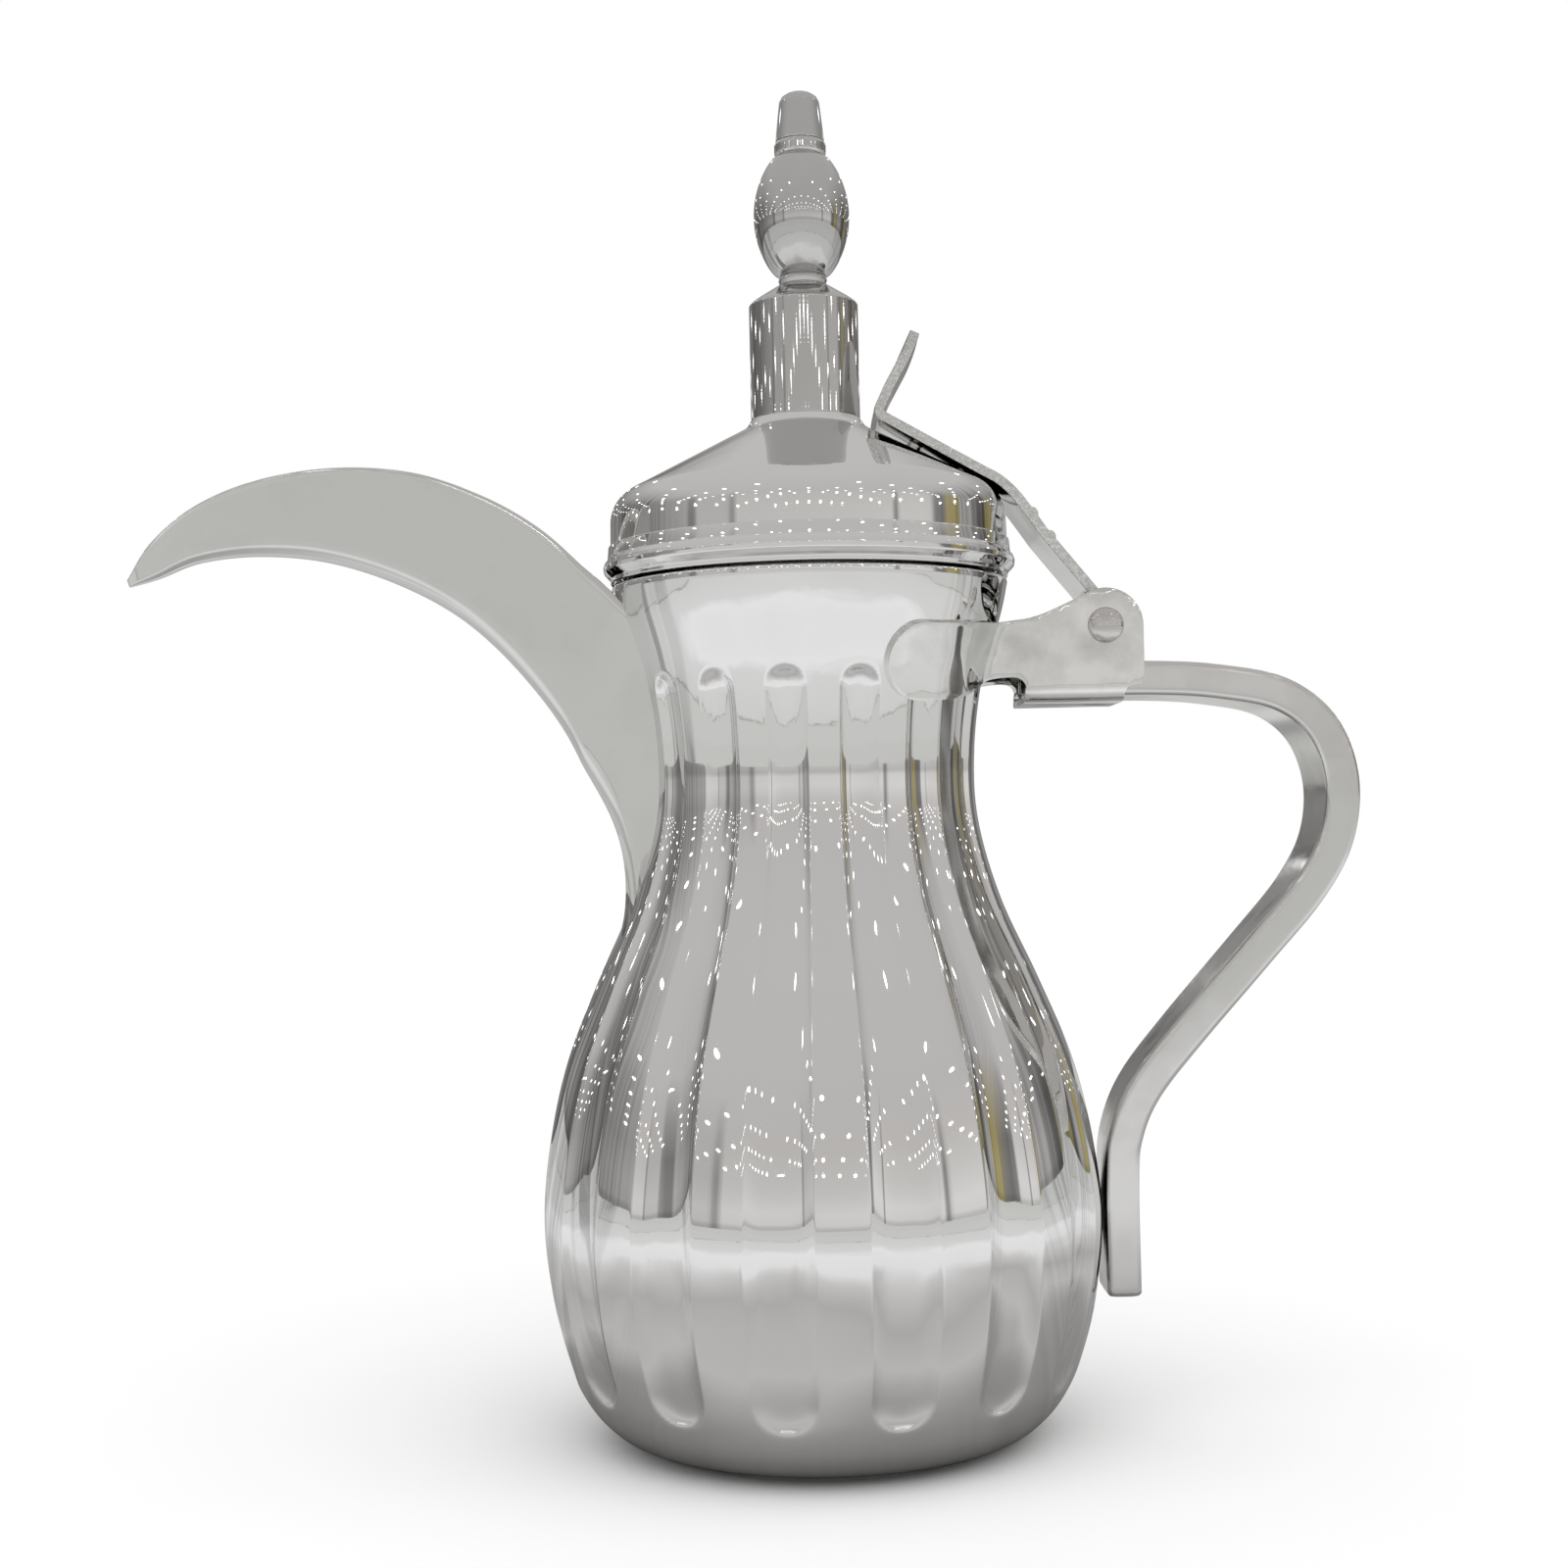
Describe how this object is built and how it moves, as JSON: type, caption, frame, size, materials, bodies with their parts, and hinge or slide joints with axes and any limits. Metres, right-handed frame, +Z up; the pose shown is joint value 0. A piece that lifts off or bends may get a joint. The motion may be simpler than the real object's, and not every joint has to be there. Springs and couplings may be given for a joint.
{
  "type": "dallah coffee pot",
  "caption": "Waisted, fluted Arabic coffee pot with an open crescent beak, a bent strap handle and a domed lid that swings on a rivet and carries a turned finial.",
  "frame": {"origin": "centre of the base underside, on the axis of the pot body", "axes": "+Z up along the pot axis, +X towards the handle, -X towards the beak, +Y along the hinge pin"},
  "size_m": [0.2483, 0.1127, 0.273],
  "materials": {
    "body_steel": "mirror polished, fluted",
    "sheet_steel": "mirror polished sheet",
    "handle_steel": "polished with fine grinding marks",
    "fastener_steel": "bright"
  },
  "bodies": {
    "pot": {"body_shell": "body_steel", "base_plate": "body_steel", "spout_near": "sheet_steel", "spout_far": "sheet_steel", "hinge_bracket": "sheet_steel", "handle_bar": "handle_steel", "hinge_pin": "fastener_steel"},
    "lid": {"lid_dome": "sheet_steel", "lid_rim": "sheet_steel", "lid_collar": "sheet_steel", "finial_column": "sheet_steel", "finial_neck": "sheet_steel", "finial_bulb": "sheet_steel", "finial_bead": "sheet_steel", "finial_tip": "sheet_steel", "finial_stud": "fastener_steel", "finial_washer": "fastener_steel", "finial_nut": "fastener_steel", "lid_lever": "handle_steel", "lever_rivets": "fastener_steel"}
  },
  "joints": [
    {"name": "lid_hinge", "type": "hinge", "parent": "pot", "child": "lid", "pos_m": [0.0587, 0, 0.1613], "axis": [0, 1, 0], "range_deg": [0, 130]}
  ]
}
